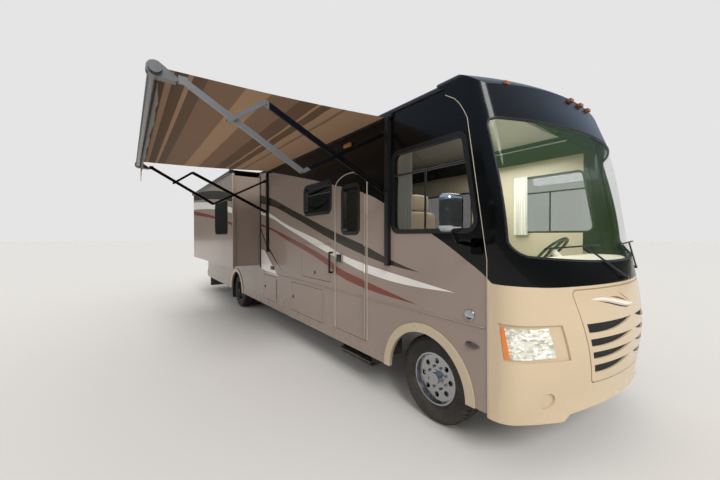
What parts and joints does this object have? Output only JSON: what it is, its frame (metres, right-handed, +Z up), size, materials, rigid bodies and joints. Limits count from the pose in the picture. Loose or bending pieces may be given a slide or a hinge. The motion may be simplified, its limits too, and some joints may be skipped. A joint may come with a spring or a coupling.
{
  "type": "motorhome",
  "caption": "Flat-fronted motorhome with an open side awning, a slide-out room, steering and rolling wheels, opening doors, hood and step.",
  "frame": {"origin": "on the ground under the middle of the bounding box", "axes": "+X forward, +Y to the vehicle's left, +Z up"},
  "size_m": [11.5337, 5.1469, 3.55],
  "materials": {
    "cap_paint": "gloss moulded panel, black above",
    "side_paint": "gloss, with swept stripes",
    "roof_skin": "white sheet",
    "dark_coating": "chassis black",
    "cast_metal": "dull",
    "tank_plastic": "matt",
    "glass": "tinted",
    "lamp_lens": "clear",
    "amber_lens": "clear amber",
    "red_lens": "clear red",
    "black_trim": "satin black",
    "anodised": "satin",
    "awning_cloth": "striped woven",
    "cab_plastic": "grained",
    "seat_cover": "smooth",
    "white_plastic": "moulded",
    "chrome": "bright",
    "rubber": "flat",
    "tyre": "matt"
  },
  "bodies": {
    "root": {"front_cap": "cap_paint", "windscreen": "glass", "headlamps": "lamp_lens", "right_wall": "side_paint", "right_skirt": "side_paint", "left_wall": "side_paint", "left_skirt": "side_paint", "fender_flares": "side_paint", "rear_cap": "side_paint", "roof": "roof_skin", "floor": "dark_coating", "chassis_frame": "dark_coating", "power_train": "cast_metal", "front_axle": "cast_metal", "rear_axle": "cast_metal", "leaf_springs": "dark_coating", "tanks_and_exhaust": "tank_plastic", "storage_trays": "tank_plastic", "window_frames": "black_trim", "side_glass": "glass", "grab_handle": "black_trim", "topper_fabric": "awning_cloth", "awning_channels": "black_trim", "awning_arms": "anodised", "awning_roller": "anodised", "awning_fabric": "awning_cloth", "dashboard": "cab_plastic", "steering_wheel": "black_trim", "cab_seats": "seat_cover", "roof_units": "white_plastic", "mirrors": "chrome", "wipers": "black_trim", "tail_lamps": "red_lens", "marker_lamps": "amber_lens", "ladder": "anodised", "hitch_receiver": "dark_coating", "mud_flaps": "rubber"},
    "steer_right": {"right_knuckle": "cast_metal"},
    "steer_left": {"left_knuckle": "cast_metal"},
    "front_right_wheel": {"front_right_tyre": "tyre", "front_right_wheel": "chrome"},
    "front_left_wheel": {"front_left_tyre": "tyre", "front_left_wheel": "chrome"},
    "rear_right_wheel": {"rear_right_tyres": "tyre", "rear_right_wheels": "chrome"},
    "rear_left_wheel": {"rear_left_tyres": "tyre", "rear_left_wheels": "chrome"},
    "entry_door": {"entry_door": "side_paint", "door_window_frame": "black_trim", "door_glass": "glass"},
    "cabinet_door": {"cabinet_door": "side_paint"},
    "storage_door_right": {"storage_door_right": "side_paint"},
    "utility_door_right": {"utility_door_right": "side_paint"},
    "storage_door_left": {"storage_door_left": "side_paint"},
    "hood": {"hood": "cap_paint"},
    "slide_room": {"slide_room": "side_paint", "slide_topper": "black_trim"},
    "entry_step": {"entry_step": "dark_coating"}
  },
  "joints": [
    {"name": "steer_right", "type": "hinge", "parent": "root", "child": "steer_right", "pos_m": [4.50712, 0.0285, 0.425], "axis": [0, 0, 1], "range_deg": [-40, 40]},
    {"name": "steer_left", "type": "hinge", "parent": "root", "child": "steer_left", "pos_m": [4.50712, 1.7285, 0.425], "axis": [0, 0, 1], "range_deg": [-40, 40]},
    {"name": "front_right_roll", "type": "hinge", "parent": "steer_right", "child": "front_right_wheel", "pos_m": [4.50712, -0.1535, 0.425], "axis": [0, 1, 0], "continuous": true},
    {"name": "front_left_roll", "type": "hinge", "parent": "steer_left", "child": "front_left_wheel", "pos_m": [4.50712, 1.9105, 0.425], "axis": [0, 1, 0], "continuous": true},
    {"name": "rear_right_roll", "type": "hinge", "parent": "root", "child": "rear_right_wheel", "pos_m": [-1.89288, -0.2195, 0.425], "axis": [0, 1, 0], "continuous": true},
    {"name": "rear_left_roll", "type": "hinge", "parent": "root", "child": "rear_left_wheel", "pos_m": [-1.89288, 1.9765, 0.425], "axis": [0, 1, 0], "continuous": true},
    {"name": "entry_door_swing", "type": "hinge", "parent": "root", "child": "entry_door", "pos_m": [3.59412, -0.4185, 1.6], "axis": [0, 0, 1], "range_deg": [0, 100]},
    {"name": "cabinet_door_lift", "type": "hinge", "parent": "root", "child": "cabinet_door", "pos_m": [2.33862, -0.413, 1.708], "axis": [-1, 0, 0], "range_deg": [0, 90]},
    {"name": "storage_door_right_swing", "type": "hinge", "parent": "root", "child": "storage_door_right", "pos_m": [2.56612, -0.413, 0.804], "axis": [0, 0, 1], "range_deg": [0, 110]},
    {"name": "utility_door_right_swing", "type": "hinge", "parent": "root", "child": "utility_door_right", "pos_m": [0.79912, -0.413, 0.804], "axis": [0, 0, 1], "range_deg": [0, 110]},
    {"name": "storage_door_left_swing", "type": "hinge", "parent": "root", "child": "storage_door_left", "pos_m": [2.56612, 2.17, 0.804], "axis": [0, 0, -1], "range_deg": [0, 110]},
    {"name": "hood_lift", "type": "hinge", "parent": "root", "child": "hood", "pos_m": [5.65712, 0.8785, 1.585], "axis": [0, -1, 0], "range_deg": [0, 70]},
    {"name": "slide_room_slide", "type": "slide", "parent": "root", "child": "slide_room", "axis": [0, 1, 0], "range_m": [0, 0.517]},
    {"name": "entry_step_slide", "type": "slide", "parent": "root", "child": "entry_step", "axis": [0, -1, 0], "range_m": [0, 0.28]}
  ],
  "couplings": [
    {"joint": "steer_left", "follows": "steer_right", "ratio": 1}
  ]
}
